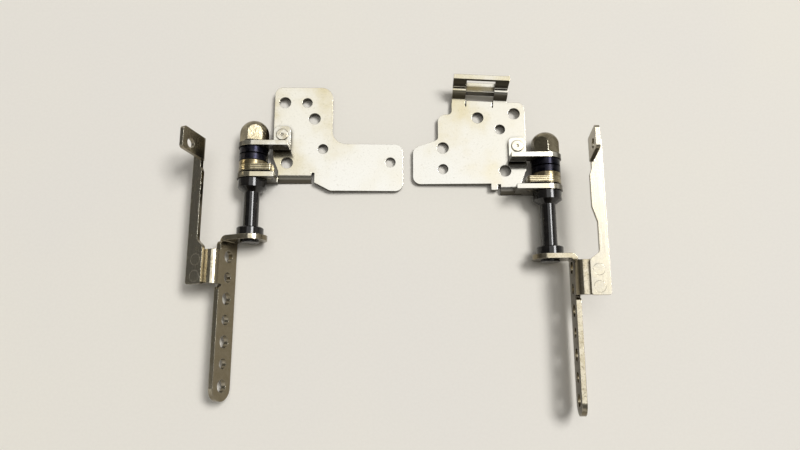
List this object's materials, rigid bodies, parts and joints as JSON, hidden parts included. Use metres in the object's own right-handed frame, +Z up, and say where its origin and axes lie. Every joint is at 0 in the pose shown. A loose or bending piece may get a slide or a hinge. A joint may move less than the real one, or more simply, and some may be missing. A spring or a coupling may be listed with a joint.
{
  "type": "laptop hinge pair",
  "caption": "Pair of laptop lid hinges: folded sheet-metal base plates with ears, black shafts with friction washers, and drilled screen arms with riveted blades.",
  "frame": {"origin": "on the table under the middle of the pair's bounding box", "axes": "+X from the left hinge to the right hinge, +Y along the shafts towards the nuts, +Z up from the table"},
  "size_m": [0.0992, 0.0826, 0.0198],
  "materials": {
    "nickel_plate": "bright nickel plating on cold-rolled steel sheet, faintly warm",
    "nickel_arm": "bright nickel plating on steel sheet, fine rolling grain",
    "black_shaft": "polished black oxide on turned steel",
    "black_spring": "blackened spring steel, oiled",
    "golden_washer": "yellowish passivated steel, greased",
    "dark_nickel": "dark nickel plating on steel"
  },
  "bodies": {
    "bases": {"left_base_plate": "nickel_plate", "left_ear_bracket": "nickel_plate", "left_bracket_rivet": "nickel_plate", "left_friction_plate": "golden_washer", "right_base_plate": "nickel_plate", "right_ear_bracket": "nickel_plate", "right_bracket_rivet": "nickel_plate", "right_friction_plate": "golden_washer"},
    "left_arm": {"left_shaft": "black_shaft", "left_lock_nut": "dark_nickel", "left_screen_bracket": "nickel_arm", "left_blade_arm": "nickel_arm", "left_spacer_washer": "black_shaft", "left_key_washer": "golden_washer", "left_disc_springs": "black_spring", "left_nut_washer": "dark_nickel", "left_blade_rivets": "nickel_arm"},
    "right_arm": {"right_shaft": "black_shaft", "right_lock_nut": "dark_nickel", "right_screen_bracket": "nickel_arm", "right_blade_arm": "nickel_arm", "right_spacer_washer": "black_shaft", "right_key_washer": "golden_washer", "right_disc_springs": "black_spring", "right_nut_washer": "dark_nickel", "right_blade_rivets": "nickel_arm"}
  },
  "joints": [
    {"name": "left_hinge", "type": "hinge", "parent": "bases", "child": "left_arm", "pos_m": [-0.03458, 0.0146, 0.0038], "axis": [0, 1, 0], "range_deg": [0, 114]},
    {"name": "right_hinge", "type": "hinge", "parent": "bases", "child": "right_arm", "pos_m": [0.03812, 0.0116, 0.0038], "axis": [0, -1, 0], "range_deg": [-27, 87]}
  ]
}
